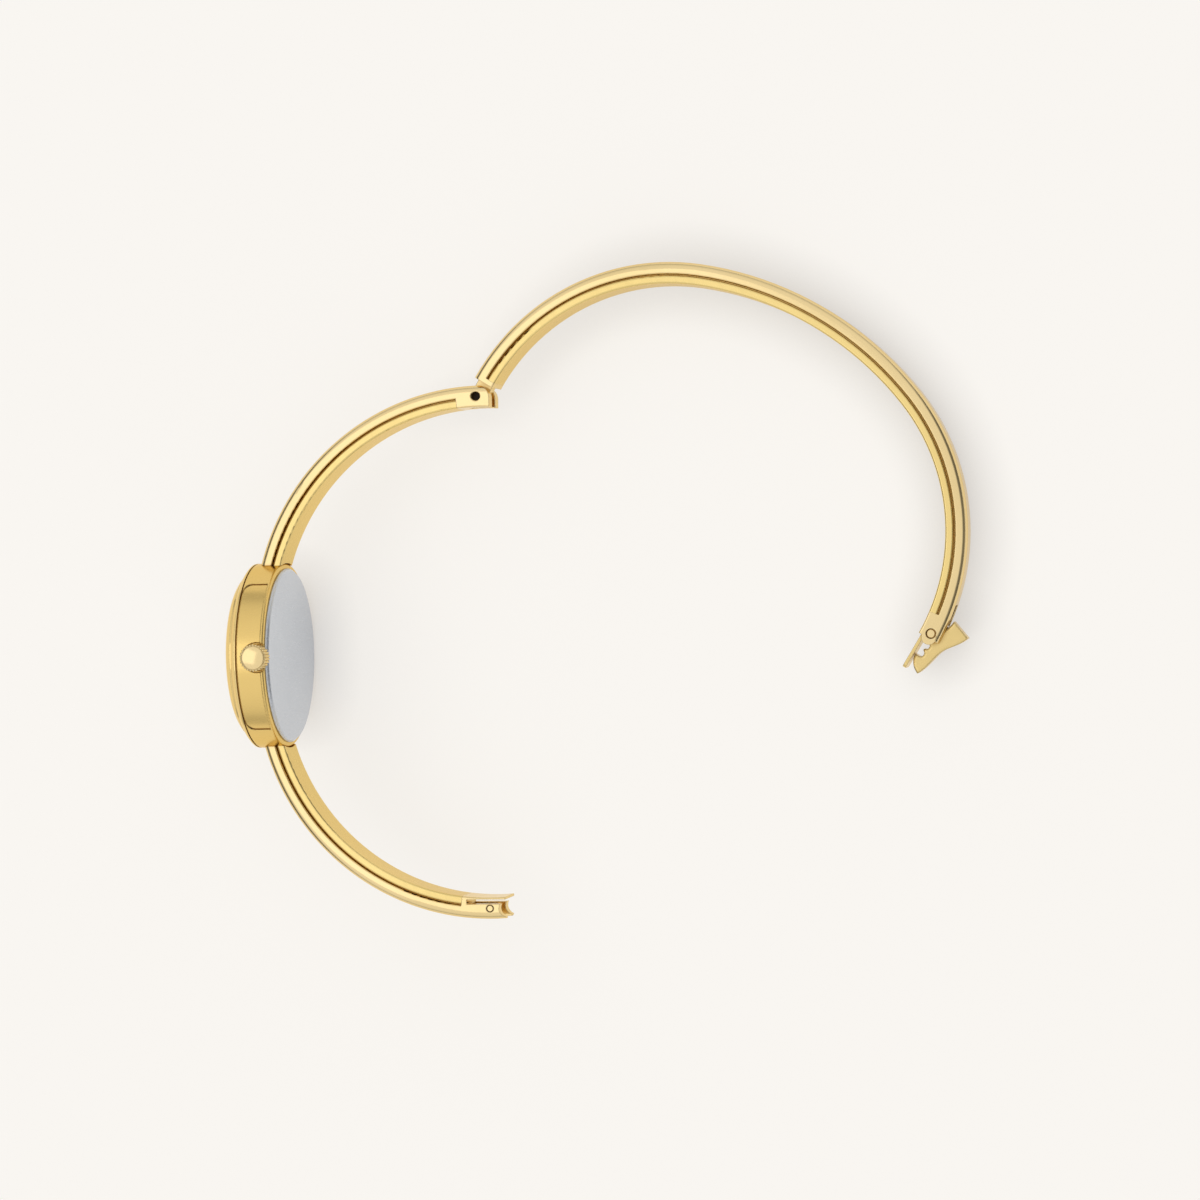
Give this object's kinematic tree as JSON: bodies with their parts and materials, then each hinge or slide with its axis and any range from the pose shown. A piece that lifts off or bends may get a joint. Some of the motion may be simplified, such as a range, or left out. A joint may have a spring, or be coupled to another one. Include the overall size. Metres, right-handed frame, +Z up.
{
  "type": "hinged bangle watch",
  "caption": "Small round quartz watch on a hinged gold-plated bangle with a lever hook clasp, lying open on its side.",
  "frame": {"origin": "centre of the bounding box's bottom, on the table that the open watch lies on", "axes": "+X the longest extent, from the dial through the case to the wrist and the open back half; +Y about the dial's 12 o'clock, the hinge side; +Z up, about the way the crown points"},
  "size_m": [0.0872, 0.0766, 0.0237],
  "materials": {
    "gold_polished": "polished gold plating",
    "gold_satin": "satin gold plating",
    "gold_pin": "polished gold plating",
    "dark_pin": "blackened steel",
    "steel_back": "satin stainless steel",
    "spring_steel": "polished spring steel",
    "steel_small": "polished steel",
    "crystal": "clear mineral glass",
    "gasket": "matt black rubber",
    "dial_paint": "pale sunray lacquer",
    "gold_trim": "polished gold",
    "holder_plastic": "white moulded plastic",
    "nickel_plate": "nickel-plated brass",
    "train_brass": "bright brass",
    "rotor_steel": "ground magnet steel",
    "stator_steel": "bare sheet steel",
    "coil_copper": "lacquered copper wire",
    "board_green": "circuit board lacquer",
    "battery_steel": "bright steel can"
  },
  "bodies": {
    "watch": {"upper_arm": "gold_polished", "upper_arm_lining": "gold_satin", "hinge_pin": "dark_pin", "lower_arm": "gold_polished", "lower_arm_lining": "gold_satin", "catch_pin": "gold_pin", "case_middle": "gold_polished", "crown_tube": "steel_small", "case_back": "steel_back", "case_back_gasket": "gasket", "bezel": "gold_polished", "crystal": "crystal", "crystal_gasket": "gasket", "dial_ring": "gold_trim", "dial": "dial_paint", "hour_markers": "gold_trim", "main_plate": "nickel_plate", "train_bridge": "nickel_plate", "bridge_screws": "steel_small", "battery": "battery_steel", "battery_clamp": "spring_steel", "clamp_screw": "steel_small", "circuit_board": "board_green", "quartz_crystal": "battery_steel", "stator": "stator_steel", "coil": "coil_copper", "movement_holder": "holder_plastic"},
    "back_half": {"back_arm": "gold_polished", "back_arm_lining": "gold_satin", "clasp_tongue": "gold_satin", "lever_pin": "gold_pin", "lever_spring": "spring_steel"},
    "lever": {"clasp_lever": "gold_satin"},
    "setting_clutch": {"clutch_wheel": "steel_small"},
    "crown_and_stem": {"stem": "steel_small", "crown": "gold_polished", "crown_gasket": "gasket"},
    "minute_work": {"cannon_pinion": "steel_small", "minute_hand": "gold_trim"},
    "hour_work": {"hour_wheel": "train_brass", "hour_hand": "gold_trim"},
    "minute_reduction": {"minute_wheel": "train_brass"},
    "centre_train": {"centre_wheel": "train_brass"},
    "third_train": {"third_wheel": "train_brass"},
    "seconds_train": {"seconds_wheel": "train_brass"},
    "fifth_train": {"fifth_wheel": "train_brass"},
    "motor_rotor": {"rotor": "rotor_steel"}
  },
  "joints": [
    {"name": "bangle_hinge", "type": "hinge", "parent": "watch", "child": "back_half", "pos_m": [-0.01376, 0.02326, 0.00713], "axis": [-0.09, -0.0541, -0.9945], "range_deg": [0, 58.5]},
    {"name": "clasp_lever_pivot", "type": "hinge", "parent": "back_half", "child": "lever", "pos_m": [0.03909, -0.00566, 0.00392], "axis": [0.09, 0.0541, 0.9945], "range_deg": [0, 22], "stiffness_Nm_per_rad": 0.004, "springref_deg": -17.19, "deforming": ["lever_spring"]},
    {"name": "crown_turn", "type": "hinge", "parent": "watch", "child": "setting_clutch", "pos_m": [-0.03808, -0.00652, 0.01547], "axis": [0.09, 0.0541, 0.9945], "continuous": true},
    {"name": "crown_pull", "type": "slide", "parent": "setting_clutch", "child": "crown_and_stem", "axis": [0.09, 0.0541, 0.9945], "range_m": [0, 0.0006]},
    {"name": "minute_hand_turn", "type": "hinge", "parent": "watch", "child": "minute_work", "pos_m": [-0.03873, -0.00676, 0.01102], "axis": [-0.9959, 0.0024, 0.09], "continuous": true},
    {"name": "hour_hand_turn", "type": "hinge", "parent": "watch", "child": "hour_work", "pos_m": [-0.03873, -0.00676, 0.01102], "axis": [-0.9959, 0.0024, 0.09], "continuous": true},
    {"name": "minute_wheel_turn", "type": "hinge", "parent": "watch", "child": "minute_reduction", "pos_m": [-0.03857, -0.00729, 0.01276], "axis": [-0.9959, 0.0024, 0.09], "continuous": true},
    {"name": "centre_wheel_turn", "type": "hinge", "parent": "watch", "child": "centre_train", "pos_m": [-0.03873, -0.00676, 0.01102], "axis": [-0.9959, 0.0024, 0.09], "continuous": true},
    {"name": "third_wheel_turn", "type": "hinge", "parent": "watch", "child": "third_train", "pos_m": [-0.03866, -0.00529, 0.01176], "axis": [-0.9959, 0.0024, 0.09], "continuous": true},
    {"name": "seconds_wheel_turn", "type": "hinge", "parent": "watch", "child": "seconds_train", "pos_m": [-0.03871, -0.00386, 0.01115], "axis": [-0.9959, 0.0024, 0.09], "continuous": true},
    {"name": "fifth_wheel_turn", "type": "hinge", "parent": "watch", "child": "fifth_train", "pos_m": [-0.03862, -0.00272, 0.01217], "axis": [-0.9959, 0.0024, 0.09], "continuous": true},
    {"name": "rotor_turn", "type": "hinge", "parent": "watch", "child": "motor_rotor", "pos_m": [-0.03849, -0.00264, 0.01359], "axis": [-0.9959, 0.0024, 0.09], "continuous": true}
  ],
  "couplings": [
    {"joint": "minute_wheel_turn", "follows": "minute_hand_turn", "ratio": -0.33333},
    {"joint": "hour_hand_turn", "follows": "minute_hand_turn", "ratio": 0.083333},
    {"joint": "fifth_wheel_turn", "follows": "seconds_wheel_turn", "ratio": -5},
    {"joint": "rotor_turn", "follows": "seconds_wheel_turn", "ratio": 30},
    {"joint": "third_wheel_turn", "follows": "seconds_wheel_turn", "ratio": -0.125},
    {"joint": "centre_wheel_turn", "follows": "seconds_wheel_turn", "ratio": 0.016667}
  ]
}
